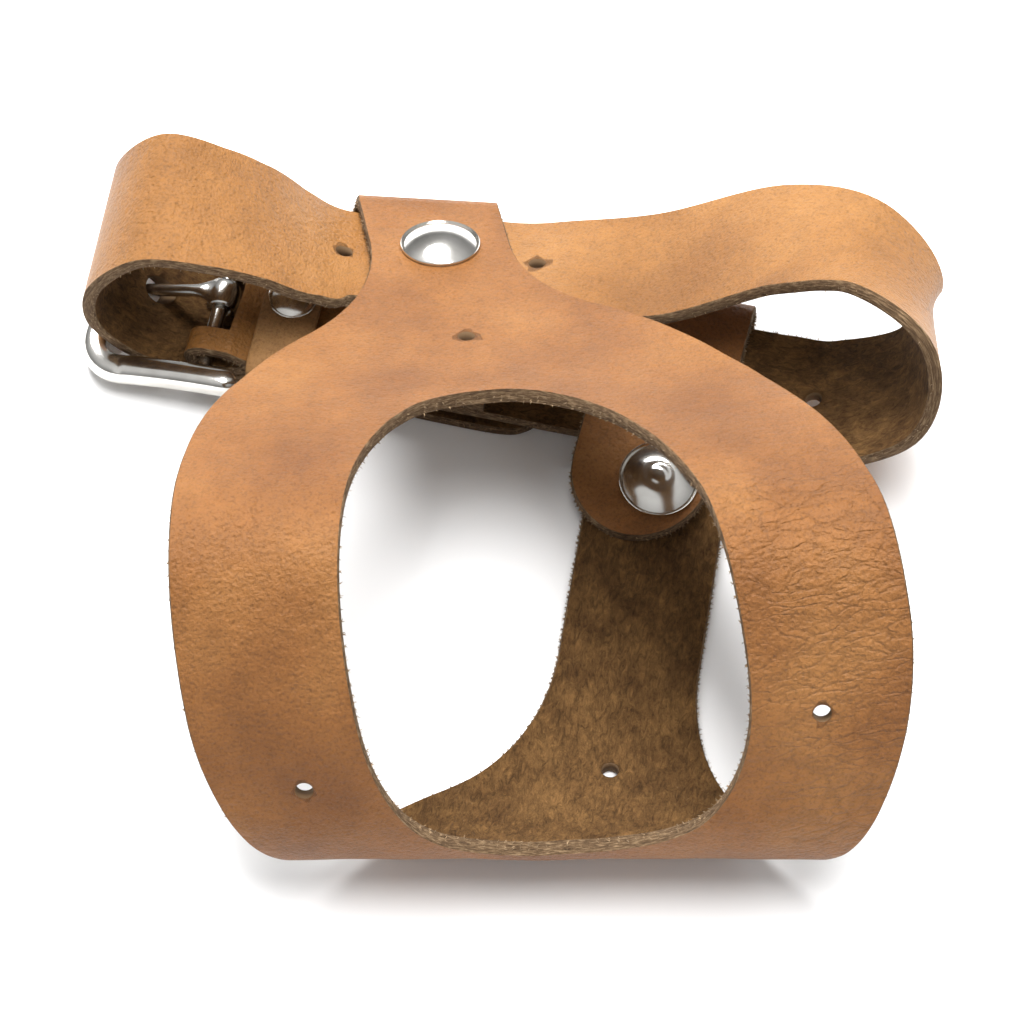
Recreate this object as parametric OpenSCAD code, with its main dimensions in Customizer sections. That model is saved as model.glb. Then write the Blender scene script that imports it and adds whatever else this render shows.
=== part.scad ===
// Leather palm harness: a palm ring bent into a U and riveted round a buckled wrist strap.
// Design frame: X to the right along the wrist strap, Y away, Z up, table at Z = 0, millimetres.

/* [Leather] */
// Thickness of the palm loop and wrist strap leather
leather_t = 1.6; // [1.4:0.1:1.7]
// Air left between leather layers that lie on each other
layer_gap = 0.05; // [0.02:0.01:0.1]

/* [Palm loop] */
// Half width of the ring across the palm
ring_half_w = 38.8; // [37:0.5:41]
// Reach of the ring's outline from its middle towards the front tab
ring_reach_front = 63.7; // [60:0.5:66]
// Reach of the ring's outline from its middle towards the back tab
ring_reach_back = 45.7; // [44:0.5:48]
// Half width of the hand opening
hole_half_w = 21; // [19:0.5:23]
// Reach of the hand opening towards the front tab
hole_reach_front = 40.2; // [38:0.2:41]
// Reach of the hand opening towards the back tab
hole_reach_back = 24.4; // [22:0.2:26]
// Half width of the necks, tabs and tongue
neck_half_w = 8.2; // [7.5:0.1:8.5]
// Radius of the sweep from the ring into the front neck
sweep_front = 19.8; // [17:0.5:22]
// Radius of the sweep from the ring into the back neck
sweep_back = 25; // [22:0.5:27]
// Radius of the small punched holes
punch_r = 1.0; // [0.8:0.1:1.2]

/* [Wrist strap] */
// Half width of the wrist strap
strap_half_w = 9; // [8.5:0.1:9.2]

/* [Buckle] */
// Radius of the buckle bar
bar_r = 1.0; // [0.9:0.05:1.1]
// Radius of the prong wire
prong_r = 0.75; // [0.6:0.05:0.8]
// Half the gap between the frame's rails
rail_gap = 10; // [9.9:0.1:10.4]
// Width of each rail seen from above
rail_w = 3.2; // [2.6:0.1:3.6]

/* [Rivets] */
// Cap radius of the two large rivets
big_cap_r = 4.75; // [4.5:0.05:4.9]
// Cap radius of the two small strap rivets
small_cap_r = 3; // [2.8:0.1:3.2]

/* [Hidden] */
$fn = 64;
tiny = 0.01;

// The point of the design frame that becomes the model's origin
datum = [-0.597, 40.175, 0];

leather = "#b27a45";
suede = "#8a6238";
nickel = "#cfccc6";
layer = leather_t + layer_gap;

// ---- Palm loop: flat pattern -------------------------------------------------------
// u runs across the pattern, v along it: v > 0 towards the front tab
ring_power_front = 2.1;
ring_power_back = 1.84;
hole_power_front = 2.13;
hole_power_back = 2.58;

// Point and outward normal on a quarter of a superellipse
function oval_point(a, b, n, t) = [a * pow(cos(t), 2 / n), b * pow(sin(t), 2 / n)];
function unit(p) = p / norm(p);
function oval_normal(a, b, n, t) =
    unit([pow(cos(t), 2 * (n - 1) / n) / a, pow(sin(t), 2 * (n - 1) / n) / b]);
// Angle at which a sweep of radius r leaves the oval and meets the neck, by bisection
function sweep_angle(a, b, n, r, low = 1, high = 89, steps = 24) =
    let (mid = (low + high) / 2, x = oval_point(a, b, n, mid).x + r * oval_normal(a, b, n, mid).x)
    steps == 0 ? mid
        : x > neck_half_w + r ? sweep_angle(a, b, n, r, mid, high, steps - 1)
        : sweep_angle(a, b, n, r, low, mid, steps - 1);
function sweep_data(a, b, n, r) =
    let (t = sweep_angle(a, b, n, r), p = oval_point(a, b, n, t))
    [p.y, p.y + r * oval_normal(a, b, n, t).y];
front_sweep = sweep_data(ring_half_w, ring_reach_front, ring_power_front, sweep_front);
back_sweep = sweep_data(ring_half_w, ring_reach_back, ring_power_back, sweep_back);
function oval_x(a, b, n, v) = v >= b ? 0 : a * pow(1 - pow(v / b, n), 1 / n);
function side_width(v, b, n, r, sweep) =
    v <= sweep[0] ? oval_x(ring_half_w, b, n, v)
        : v < sweep[1] ? neck_half_w + r - sqrt(r * r - pow(sweep[1] - v, 2))
        : neck_half_w;

// ---- Palm loop: how the pattern lies in space --------------------------------------
// The pattern's centreline is turned against Y by this angle
skew = 9.5;
pattern_x = 3.9;
pattern_s = 89.2;
// Start of the back neck's straight, and how it climbs away from the table
path_y = 54.1;
path_z = 2.16;
neck_slope = 2;
// The loop's side view from the back neck to the front tab: [length, turn towards the palm]
arcs = [[37.6, 0], [14.2, 25.5], [20.7, 98.3], [24.9, 21.6], [12.3, 60], [19.1, 13.8], [22.5, -11.8]];
function path_step(p, l, turn) =
    turn == 0 ? [p[0] + l * cos(p[2]), p[1] + l * sin(p[2]), p[2]]
        : let (r = l / (turn * PI / 180))
        [p[0] + r * (sin(p[2]) - sin(p[2] - turn)), p[1] - r * (cos(p[2]) - cos(p[2] - turn)), p[2] - turn];
function path_start(i) =
    i == 0 ? [path_y, path_z, 180 + neck_slope] : path_step(path_start(i - 1), arcs[i - 1][0], arcs[i - 1][1]);
path_joints = [for (i = [0:len(arcs)]) path_start(i)];
function sum_to(i) = i == 0 ? 0 : sum_to(i - 1) + arcs[i - 1][0];
path_sums = [for (i = [0:len(arcs)]) sum_to(i)];
path_len = path_sums[len(arcs)];
// [y, z, heading] at the distance s along the side view
function path_at(s, i = 0) =
    s <= 0 ? path_step(path_joints[0], s, 0)
        : s >= path_len ? path_step(path_joints[len(arcs)], s - path_len, 0)
        : s > path_sums[i + 1] ? path_at(s, i + 1)
        : let (part = s - path_sums[i]) path_step(path_joints[i], part, arcs[i][1] * part / arcs[i][0]);

// Rivet centres along the pattern
front_rivet_v = 73.9;
back_rivet_v = -81.8;
function flat_x(u, v) = pattern_x + u * cos(skew) - v * sin(skew);
function flat_s(u, v) = pattern_s + u * sin(skew) + v * cos(skew);

// Both tabs fold round the far edge of the wrist strap, along lines that follow the strap
front_line = -6;
back_line = -12;
fold_r = layer;
edge_gap = 0.3;
// Distance from the back rivet to the strap's near edge
back_edge = 4.8;
front_along = [-sin(front_line), cos(front_line)];
back_along = [-sin(back_line), cos(back_line)];
front_fold = [flat_x(0, front_rivet_v), flat_s(0, front_rivet_v)] + (strap_half_w + edge_gap) * front_along;
back_flat = [flat_x(0, back_rivet_v), path_y - flat_s(0, back_rivet_v)];
back_fold = back_flat + (back_edge + 2 * strap_half_w + edge_gap) * back_along;
// The tongue comes down from the strap to the neck at this rate
tongue_fall = 0.14;
function neck_z(y) = path_z + (y - path_y) * tan(neck_slope);
// [along, height, angle] of a strip wrapped round a fold of radius fold_r, d past the fold line
function wrap(d) =
    d <= 0 ? [d, 0, 0]
        : d < fold_r * PI ? [fold_r * sin(d / fold_r * 180 / PI), fold_r * (1 - cos(d / fold_r * 180 / PI)),
            d / fold_r * 180 / PI]
        : [fold_r * PI - d, 2 * fold_r, 180];

// A pattern point lifted by off along the grain side
function on_back(u, v, off) =
    let (
        p = [flat_x(u, v), path_y - flat_s(u, v)] - back_fold,
        w = wrap(p * back_along),
        side = p * [back_along.y, -back_along.x],
        past = max(0, -w[0] - 2 * strap_half_w - 2 * edge_gap - 1),
        lift = w[2] == 180 ? max(w[1] - tongue_fall * past, layer) : w[1],
        q = back_fold + side * [back_along.y, -back_along.x] + (w[0] + off * sin(w[2])) * back_along
    )
    [q.x, q.y, neck_z(q.y) + lift - off * cos(w[2])];
function on_front(u, v, off) =
    let (
        p = [flat_x(u, v), flat_s(u, v)] - front_fold,
        w = wrap(p * front_along),
        side = p * [front_along.y, -front_along.x],
        q = front_fold + side * [front_along.y, -front_along.x] + (w[0] + off * sin(w[2])) * front_along,
        lift = off * cos(w[2]) - w[1],
        b = path_at(q.y)
    )
    [q.x, b[0] - lift * sin(b[2]), b[1] + lift * cos(b[2])];
function on_path(u, v, off) =
    let (b = path_at(flat_s(u, v)))
    [flat_x(u, v), b[0] - off * sin(b[2]), b[1] + off * cos(b[2])];
function lay(u, v, off) =
    let (s = flat_s(u, v))
    s < 0 ? on_back(u, v, off) : s > path_len ? on_front(u, v, off) : on_path(u, v, off);

// Rows are leaned so that they follow the two fold lines
front_lean = tan(front_line - skew);
back_lean = tan(-back_line - skew);
function ramp(x, a, b) = min(1, max(0, (x - a) / (b - a)));
function lean(v) = front_lean * ramp(v, 58, 80) + back_lean * ramp(-v, 60, 95);

tongue_len = 7.6;
flap_len = 7.5;
tongue_end = back_rivet_v - 2 * (back_edge + 2 * strap_half_w + edge_gap) - PI * fold_r - tongue_len;
tongue_round = tongue_end + neck_half_w;
flap_end = front_rivet_v + 2 * (strap_half_w + edge_gap) + PI * fold_r + flap_len;
back_fold_v = back_rivet_v - back_edge - 2 * strap_half_w - edge_gap;
front_fold_v = front_rivet_v + strap_half_w + edge_gap;
// The flap under the strap narrows at this rate on each side
flap_taper = 0.25;
flap_from = front_fold_v + PI * fold_r;
row = 2.4;
fold_row = 0.65;
fold_v = PI * fold_r;
rows_v = concat(
    [for (t = [80:-10:10]) tongue_round - neck_half_w * sin(t)],
    [for (v = [tongue_round:row:back_fold_v - fold_v - 1]) v],
    [for (v = [back_fold_v - fold_v:fold_row:back_fold_v + 0.5]) v],
    [for (v = [back_fold_v + row:row:-hole_reach_back - 1]) v],
    [for (t = [-90:7.5:-7.5]) hole_reach_back * sin(t)],
    [for (t = [0:6:90]) hole_reach_front * sin(t)],
    [for (v = [hole_reach_front + 1.5:row:front_fold_v - 1]) v],
    [for (v = [front_fold_v - 0.2:fold_row:front_fold_v + fold_v + 0.5]) v],
    [for (v = [front_fold_v + fold_v + row:row:flap_end]) v]
);
function outer(v) =
    v < tongue_round ? sqrt(neck_half_w * neck_half_w - pow(tongue_round - v, 2))
        : v < 0 ? side_width(-v, ring_reach_back, ring_power_back, sweep_back, back_sweep)
        : v < flap_from ? side_width(v, ring_reach_front, ring_power_front, sweep_front, front_sweep)
        : neck_half_w - flap_taper * (v - flap_from);
function inner(v) =
    v < 0 ? oval_x(hole_half_w, hole_reach_back, hole_power_back, -v)
        : oval_x(hole_half_w, hole_reach_front, hole_power_front, v);

// Two strips side by side that share their inner edge where the inner width is 0.
// widths lists [inner, outer] for each row; place(row, u, side) is a point of the grain (1) or flesh (-1) side
module sheet(widths, cells, place) {
    n = len(widths);
    points = [
        for (i = [0:n - 1]) for (s = [0, 1]) for (j = [0:cells]) for (k = [-1, 1])
            let (w = widths[i], step = (w[1] - w[0]) * j / cells)
            place(i, s == 0 ? step - w[1] : w[0] + step, k)
    ];
    function shut(i) = widths[i][0] == 0;
    function id(i, s, j, k) =
        s == 1 && j == 0 && shut(i) ? id(i, 0, cells, k) : ((i * 2 + s) * (cells + 1) + j) * 2 + k;
    skin = [
        for (i = [0:n - 2]) for (s = [0, 1]) for (j = [0:cells - 1]) for (k = [0, 1])
            let (a = id(i, s, j, k), b = id(i, s, j + 1, k), c = id(i + 1, s, j + 1, k), d = id(i + 1, s, j, k))
            for (f = k == 1 ? [[a, d, c], [a, c, b]] : [[a, c, d], [a, b, c]]) f
    ];
    sides = [
        for (i = [0:n - 2]) for (e = [[0, 0], [0, cells], [1, 0], [1, cells]])
            let (mid = e == [0, cells] || e == [1, 0], flip = e == [0, cells] || e == [1, cells])
            if (!(mid && shut(i) && shut(i + 1)))
                let (
                    a = id(i, e[0], e[1], 0), b = id(i, e[0], e[1], 1),
                    c = id(i + 1, e[0], e[1], 1), d = id(i + 1, e[0], e[1], 0)
                )
                for (f = flip ? [[a, b, c], [a, c, d]] : [[a, c, b], [a, d, c]]) f
    ];
    ends = [
        for (s = [0, 1]) for (j = [0:cells - 1]) for (i = [0, n - 1])
            let (a = id(i, s, j, 0), b = id(i, s, j + 1, 0), c = id(i, s, j + 1, 1), d = id(i, s, j, 1))
            for (f = i == 0 ? [[a, c, b], [a, d, c]] : [[a, b, c], [a, c, d]]) f
    ];
    polyhedron(points, concat(skin, sides, ends), convexity = 12);
}

// Places a child with its Z along the grain side's normal at a pattern point
module at_pattern(u, v) {
    base = lay(u, v, 0);
    n = lay(u, v, 1) - base;
    translate(base)
        rotate([0, acos(min(1, max(-1, n.z / norm(n)))), atan2(n.y, n.x)])
            children();
}

punch_v_front = 53.9;
punch_v_back = -45.1;
punch_side = [28, -9.8];
module punches() {
    for (p = [[0, punch_v_front], [0, punch_v_back], punch_side, [-punch_side.x, punch_side.y]])
        at_pattern(p.x, p.y) cylinder(h = 8, r = punch_r, center = true);
}

// ---- Rivets -------------------------------------------------------------------------
// Where each rivet stands: [middle of its leather stack, tilt about X, height of the stack]
socket_r = 1.5;
rivet_hole_r = socket_r + 0.05;
front_h = path_joints[len(arcs)][2];
front_top = on_front(0, front_rivet_v, 0);
front_stack = 3 * leather_t + 2 * layer_gap;
front_spot = [front_top.x, front_top.y + layer * sin(front_h), front_top.z - layer * cos(front_h)];
back_tilt = 6;
back_stack = 2 * leather_t + 1.1;
back_spot = [back_flat.x, back_flat.y, neck_z(back_flat.y) + (back_stack - leather_t) / 2];
run_at_keeper = 4;
run_at_flap = 4.05;
small_stack_keeper = 3 * leather_t + 2 * layer_gap - 0.4;
small_stack_flap = 2 * leather_t + layer_gap;
// Distances along the strap's back run from the buckle bar
keeper_t = 8.8;
flap_rivet_t = 27.5;
flap_tip_t = 34;

shell_t = 0.35;
flange_t = 0.35;
// A domed shell of radius r and height h whose rim stands on Z = 0
module dome(r, h, dimple) {
    ball = (r * r + h * h) / (2 * h);
    wall = r - shell_t;
    hollow = h - shell_t;
    inner_ball = (wall * wall + hollow * hollow) / (2 * hollow);
    difference() {
        intersection() {
            translate([0, 0, h - ball]) sphere(r = ball);
            cylinder(h = h + 1, r = r);
        }
        intersection() {
            translate([0, 0, hollow - inner_ball]) sphere(r = inner_ball);
            translate([0, 0, -tiny]) cylinder(h = h, r = wall);
        }
        if (dimple > 0)
            translate([0, 0, h + dimple * 1.5]) sphere(r = dimple * 1.8);
    }
}
// The socket's flange fills the cap's rim and its tube goes down through the leather
module socket(r, depth) {
    difference() {
        union() {
            cylinder(h = flange_t, r = r - shell_t - 0.25);
            translate([0, 0, -depth]) cylinder(h = depth + flange_t, r = socket_r);
        }
        translate([0, 0, -depth - tiny]) cylinder(h = depth - 0.3, r = 1.05);
    }
}
// The post's flange fills the base cap and its stem goes up into the socket
module post(r, length) {
    translate([0, 0, -flange_t]) cylinder(h = flange_t, r = r);
    cylinder(h = length, r = 1.0);
}
module rivet_frame(spot, turn, stack) {
    translate(spot) rotate(turn) translate([0, 0, -stack / 2]) children();
}
front_turn = [front_h, 0, 0];
back_turn = [back_tilt, 0, 0];
big_dome_h = 1.7;
// The back rivet's base cap is lower: it lies between the neck and the table
low_dome_h = 0.9;
low_flange = 2.5;
small_dome_h = 1.1;

// ---- Wrist strap ---------------------------------------------------------------------
strap_yaw = -12;
bar_spot = [-34.6, 70.4, 4.9];
function on_run(t, z, tilt = 0) =
    [bar_spot.x + t * cos(strap_yaw), bar_spot.y + t * sin(strap_yaw), z, tilt, -strap_yaw, strap_half_w];
// Lying on the back neck
function on_neck(t) = on_run(t, neck_z(on_run(t, 0).y) + layer, neck_slope);
// The strap's end turns round the buckle bar
wrap_r = bar_r + 0.06 + leather_t / 2;
function round_bar(a) = on_run(-wrap_r * sin(a), bar_spot.z + wrap_r * cos(a));
// Half width of the prong's slot, and how far the slot runs past the bar
slot_half = 5.6;
slot_end = 2.4;
// The strap lies flat under the front tab for this half length
function under_tab(t) =
    let (p = [front_fold.x, front_fold.y] - (strap_half_w + edge_gap) * front_along
            + t * [cos(front_line), sin(front_line)],
        b = path_at(p.y))
    [p.x, b[0] + layer * sin(b[2]), b[1] - layer * cos(b[2]), front_h, -front_line, strap_half_w];
tab_flat = 11.4;
// All layers lie level for this half length through the keeper
keeper_lie = 3.7;
keeper_start = keeper_t - keeper_lie - 0.7;
tail_at_keeper = run_at_keeper - layer - 0.05;
// Centre line from the turned-back flap's tip to the pointed tail:
// [x, y, z, tilt of the width, turn of the width, half width]
flap_route = [
    on_run(flap_tip_t, run_at_flap + layer), on_run(24, run_at_flap + layer),
    on_run(keeper_t + keeper_lie, run_at_keeper + layer), on_run(keeper_t, run_at_keeper + layer),
    on_run(keeper_t - keeper_lie, run_at_keeper + layer), on_run(keeper_start, run_at_keeper + layer + 0.2),
    on_run(slot_end + 0.2, bar_spot.z + wrap_r)
];
fold_route = concat(
    [on_run(slot_end, bar_spot.z + wrap_r)],
    [for (a = [0:15:180]) round_bar(a)],
    [on_run(slot_end, bar_spot.z - wrap_r)]
);
strap_route = concat(
    [on_run(slot_end + 0.2, bar_spot.z - wrap_r), on_run(keeper_start, run_at_keeper - 0.2)],
    [on_run(keeper_t - keeper_lie, run_at_keeper)],
    [on_run(keeper_t, run_at_keeper), on_run(keeper_t + keeper_lie, run_at_keeper)],
    [on_run(24, run_at_flap), on_run(flap_tip_t, run_at_flap)],
    [for (t = [41, 43.5, 55, 65, 67.5]) on_neck(t)],
    [[37.6, 54.4, 6.6, -8, 2, strap_half_w], [46.4, 53.4, 13.8, -17, 0, strap_half_w]],
    [[47.7, 57.2, 22.2, -21, 0, strap_half_w], [41.4, 64.4, 24.4, -23, 0, strap_half_w]],
    [[31.6, 68.4, 21.4, -20, 0, strap_half_w], [17, 68.5, 14.6, -16, 4, strap_half_w]],
    [for (t = [tab_flat, tab_flat - 2, 0, 3 - tab_flat, -3 - tab_flat]) under_tab(t)],
    [[-25.4, 71.6, 16.9, -21, 6, strap_half_w], [-28.8, 71.7, 20.2, -14, 6, strap_half_w]],
    [[-32.5, 71.8, 22.6, -8, 6, strap_half_w]],
    [[-41.5, 72.4, 23.6, -1, 8, strap_half_w], [-47.2, 72.6, 17.6, 0, 9, strap_half_w]],
    [[-48, 72.9, 9.6, 0, 10, strap_half_w], [-44.2, 72.2, 4.2, 0, 12, strap_half_w]],
    [[-39.4, 71.5, 1.3, 0, 12, strap_half_w], on_run(0, 0.9), on_run(slot_end, 1.15)],
    [on_run(keeper_start, tail_at_keeper - 0.55), on_run(keeper_t - keeper_lie, tail_at_keeper)],
    [on_run(keeper_t, tail_at_keeper), on_run(keeper_t + keeper_lie, tail_at_keeper), on_run(20, 1.5)],
    [for (e = [[28, 9], [36, 9], [39, 8], [41.2, 5.4], [42.4, 2.4]])
        [for (i = [0:5]) i == 5 ? min(e[1], strap_half_w) : on_run(e[0], 0.85)[i]]]
);
strap_steps = 4;
function spline(a, b, c, d, t) =
    0.5 * (2 * b + (c - a) * t + (2 * a - 5 * b + 4 * c - d) * t * t + (3 * b - a - 3 * c + d) * t * t * t);
function clamp_at(list, i) =
    i < 0 ? 2 * list[0] - list[1] : i >= len(list) ? 2 * list[len(list) - 1] - list[len(list) - 2] : list[i];
function smooth(list, steps) = concat(
    [for (i = [0:len(list) - 2]) for (k = [0:steps - 1])
        spline(clamp_at(list, i - 1), list[i], list[i + 1], clamp_at(list, i + 2), k / steps)],
    [list[len(list) - 1]]
);
function spot(p) = [p[0], p[1], p[2]];
stations = concat(smooth(flap_route, strap_steps), fold_route, smooth(strap_route, strap_steps));
last_station = len(stations) - 1;
slot_from = len(smooth(flap_route, strap_steps));
slot_to = slot_from + len(fold_route) - 1;
// A point of the strap at station i, u across its width, on its grain (1) or flesh (-1) side
function on_strap(i, u, k) =
    let (
        s = stations[i],
        along = unit(spot(stations[min(last_station, i + 1)]) - spot(stations[max(0, i - 1)])),
        raw = [sin(s[4]) * cos(s[3]), cos(s[4]) * cos(s[3]), sin(s[3])],
        across = unit(raw - (raw * along) * along)
    )
    spot(s) + across * u - cross(along, across) * k * leather_t / 2;

// ---- Buckle ----------------------------------------------------------------------------
// Local frame: X along the strap's back run, Y along the bar, origin at the bar's middle
module buckle_place() {
    translate(bar_spot) rotate([0, 0, strap_yaw]) children();
}
frame_left = -15.6;
frame_right = 4.6;
frame_h = 3.4;
arch_r = 64;
arch_x = 4;
arch_top = 2;
corner_r = 4.5;
window_left = frame_left + 3.4;
curl_w = 3.6;
curl_r = bar_r + 1.1;
prong_tip = [-14.8, -3.3];
prong_root = [-1.2, 1.15];
tip_len = 0.7;
prong_len = norm(prong_tip - prong_root);
prong_angle = atan2(prong_root.y - prong_tip.y, prong_root.x - prong_tip.x);
module rounded_left(x0, x1, half, r) {
    translate([x0 + r, -half]) square([x1 - x0 - r, 2 * half]);
    translate([x0, -half + r]) square([r + tiny, 2 * (half - r)]);
    for (s = [-1, 1]) translate([x0 + r, s * (half - r)]) circle(r = r);
}
module prong_line(r, extra) {
    translate([prong_root.x, 0, prong_root.y])
        rotate([0, -90 - prong_angle, 0])
            translate([0, 0, -extra]) cylinder(h = prong_len + 2 * extra, r = r);
}

// ---- Nodes -------------------------------------------------------------------------------
module palm_loop() {
    color(leather) difference() {
        sheet(
            [for (v = rows_v) [inner(v) < 0.05 ? 0 : inner(v), outer(v)]], 5,
            function (i, u, k) lay(u, rows_v[i] + lean(rows_v[i]) * u, k * leather_t / 2)
        );
        punches();
        rivet_frame(front_spot, front_turn, front_stack) {
            translate([0, 0, -5]) cylinder(h = 12, r = rivet_hole_r);
            translate([0, 0, front_stack]) cylinder(h = 3, r = big_cap_r + tiny);
            translate([0, 0, -3]) cylinder(h = 3, r = big_cap_r + tiny);
        }
        rivet_frame(back_spot, back_turn, back_stack) {
            translate([0, 0, -4]) cylinder(h = 10, r = rivet_hole_r);
            translate([0, 0, back_stack]) cylinder(h = 3, r = big_cap_r + tiny);
            translate([0, 0, -3]) cylinder(h = 3, r = big_cap_r + tiny);
        }
    }
}
hole_spacing = 11.5;
prong_hole_r = 1.7;
module wrist_strap() {
    color(leather) difference() {
        sheet(
            [for (i = [0:last_station]) [i >= slot_from && i <= slot_to ? slot_half : 0, stations[i][5]]], 1,
            function (i, u, k) on_strap(i, u, k)
        );
        rivet_frame(front_spot, front_turn, front_stack) {
            translate([0, 0, -2]) cylinder(h = 10, r = rivet_hole_r);
            for (s = [-1, 1])
                rotate([0, 0, front_line]) translate([s * hole_spacing, 0, -4]) cylinder(h = 14, r = punch_r);
        }
        translate(spot(on_run(72, 0))) cylinder(h = 14, r = punch_r);
        buckle_place() {
            prong_line(prong_hole_r, 0);
            for (p = [[keeper_t, run_at_keeper], [flap_rivet_t, run_at_flap]])
                translate([p[0], 0, p[1] - leather_t / 2 - bar_spot.z - 0.03]) {
                    cylinder(h = 6, r = rivet_hole_r);
                    cylinder(h = flange_seat + 0.03, r = small_cap_r - 0.3);
                }
        }
    }
}

keeper_w = 7;
keeper_leather = 1.2;
keeper_half = strap_half_w + 0.35;
keeper_low = tail_at_keeper - leather_t / 2 - 0.15;
keeper_high = run_at_keeper + layer + leather_t / 2 + 0.14;
keeper_rivet_top = keeper_high + keeper_leather;
flange_seat = 0.4;
keeper_rivet_low = run_at_keeper - leather_t / 2 + flange_seat;
flap_rivet_low = run_at_flap - leather_t / 2 + flange_seat;
flap_rivet_top = run_at_flap + layer + leather_t / 2 + 0.02;
module rounded_box(half, low, high, r) {
    for (y = [-half + r, half - r]) for (z = [low + r, high - r]) translate([y, z]) circle(r = r);
    translate([-half + r, low]) square([2 * (half - r), high - low]);
    translate([-half, low + r]) square([2 * half, high - low - 2 * r]);
}
module keeper() {
    color(leather) buckle_place() difference() {
        translate([keeper_t - keeper_w / 2, 0, -bar_spot.z])
            rotate([90, 0, 90]) linear_extrude(keeper_w) difference() {
                rounded_box(keeper_half + keeper_leather, keeper_low - keeper_leather, keeper_rivet_top, 2);
                rounded_box(keeper_half, keeper_low, keeper_high, 0.9);
            }
        translate([keeper_t, 0, 0]) cylinder(h = 8, r = rivet_hole_r);
    }
}
module buckle_frame() {
    color(nickel) buckle_place() difference() {
        intersection() {
            translate([0, 0, -20]) linear_extrude(40) difference() {
                rounded_left(frame_left, frame_right, rail_gap + rail_w, corner_r);
                rounded_left(window_left, frame_right + 1, rail_gap, corner_r - 3);
            }
            translate([arch_x, 0, arch_top - arch_r]) rotate([90, 0, 0]) difference() {
                cylinder(h = 40, r = arch_r, center = true, $fn = 200);
                cylinder(h = 50, r = arch_r - frame_h, center = true, $fn = 200);
            }
        }
        rotate([90, 0, 0]) cylinder(h = 2 * (rail_gap + 1.7), r = bar_r + 0.02, center = true);
        prong_line(prong_r + 0.12, 2);
        translate([prong_root.x, 0, prong_root.y]) rotate([0, -prong_angle, 0])
            translate([-prong_len - 2, -prong_r - 0.12, -6]) cube([8, 2 * prong_r + 0.24, 6]);
    }
}
module buckle_bar() {
    color(nickel) buckle_place() rotate([90, 0, 0])
        cylinder(h = 2 * (rail_gap + 1.6), r = bar_r, center = true);
}
module buckle_prong() {
    color(nickel) buckle_place() difference() {
        union() {
            rotate([90, 0, 0]) cylinder(h = curl_w, r = curl_r, center = true);
            translate([prong_root.x, 0, prong_root.y]) rotate([0, -90 - prong_angle, 0]) rotate_extrude()
                polygon([[0, 0], [prong_r, 0], [prong_r, prong_len], [prong_r / 2, prong_len + tip_len],
                    [0, prong_len + tip_len]]);
        }
        rotate([90, 0, 0]) cylinder(h = curl_w + 1, r = bar_r + 0.04, center = true);
    }
}
big_flange = 3.7;
small_flange = 1.9;
module big_cap(stack, dimple) {
    translate([0, 0, stack]) dome(big_cap_r, big_dome_h, dimple);
}
module big_socket(stack) {
    translate([0, 0, stack]) socket(big_flange, stack - 0.15);
}
module big_base(h) {
    mirror([0, 0, 1]) dome(big_cap_r, h, 0);
}
module front_rivet_cap() {
    color(nickel) rivet_frame(front_spot, front_turn, front_stack) big_cap(front_stack, 0);
}
module front_rivet_socket() {
    color(nickel) rivet_frame(front_spot, front_turn, front_stack) big_socket(front_stack);
}
module front_rivet_post() {
    color(nickel) rivet_frame(front_spot, front_turn, front_stack) post(big_flange, front_stack - 0.6);
}
module front_rivet_base() {
    color(nickel) rivet_frame(front_spot, front_turn, front_stack) big_base(big_dome_h);
}
module back_rivet_cap() {
    color(nickel) rivet_frame(back_spot, back_turn, back_stack) big_cap(back_stack, 0.6);
}
module back_rivet_socket() {
    color(nickel) rivet_frame(back_spot, back_turn, back_stack) big_socket(back_stack);
}
module back_rivet_post() {
    color(nickel) rivet_frame(back_spot, back_turn, back_stack) post(low_flange, back_stack - 0.6);
}
module back_rivet_base() {
    color(nickel) rivet_frame(back_spot, back_turn, back_stack) big_base(low_dome_h);
}
module on_run_at(t, z) {
    buckle_place() translate([t, 0, z - bar_spot.z]) children();
}
keeper_stack = keeper_rivet_top - keeper_rivet_low;
flap_stack = flap_rivet_top - flap_rivet_low;
module keeper_rivet_cap() {
    color(nickel) on_run_at(keeper_t, keeper_rivet_top) dome(small_cap_r, small_dome_h, 0);
}
module keeper_rivet_socket() {
    color(nickel) on_run_at(keeper_t, keeper_rivet_top) socket(small_flange, keeper_stack - 0.15);
}
module keeper_rivet_post() {
    color(nickel) on_run_at(keeper_t, keeper_rivet_low) post(small_cap_r - 0.4, keeper_stack - 0.6);
}
module flap_rivet_cap() {
    color(nickel) on_run_at(flap_rivet_t, flap_rivet_top) dome(small_cap_r, small_dome_h, 0);
}
module flap_rivet_socket() {
    color(nickel) on_run_at(flap_rivet_t, flap_rivet_top) socket(small_flange, flap_stack - 0.15);
}
module flap_rivet_post() {
    color(nickel) on_run_at(flap_rivet_t, flap_rivet_low) post(small_cap_r - 0.4, flap_stack - 0.6);
}

module placed() {
    translate(-datum) children();
}
placed() palm_loop();
placed() wrist_strap();
placed() keeper();
placed() buckle_frame();
placed() buckle_bar();
placed() buckle_prong();
placed() front_rivet_cap();
placed() front_rivet_socket();
placed() front_rivet_post();
placed() front_rivet_base();
placed() back_rivet_cap();
placed() back_rivet_socket();
placed() back_rivet_post();
placed() back_rivet_base();
placed() keeper_rivet_cap();
placed() keeper_rivet_socket();
placed() keeper_rivet_post();
placed() flap_rivet_cap();
placed() flap_rivet_socket();
placed() flap_rivet_post();
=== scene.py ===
"""Leather palm harness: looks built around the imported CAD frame. Lengths are in millimetres until mesh time."""

import math
import random

import bmesh
import bpy
from mathutils import Matrix, Vector, noise


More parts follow.
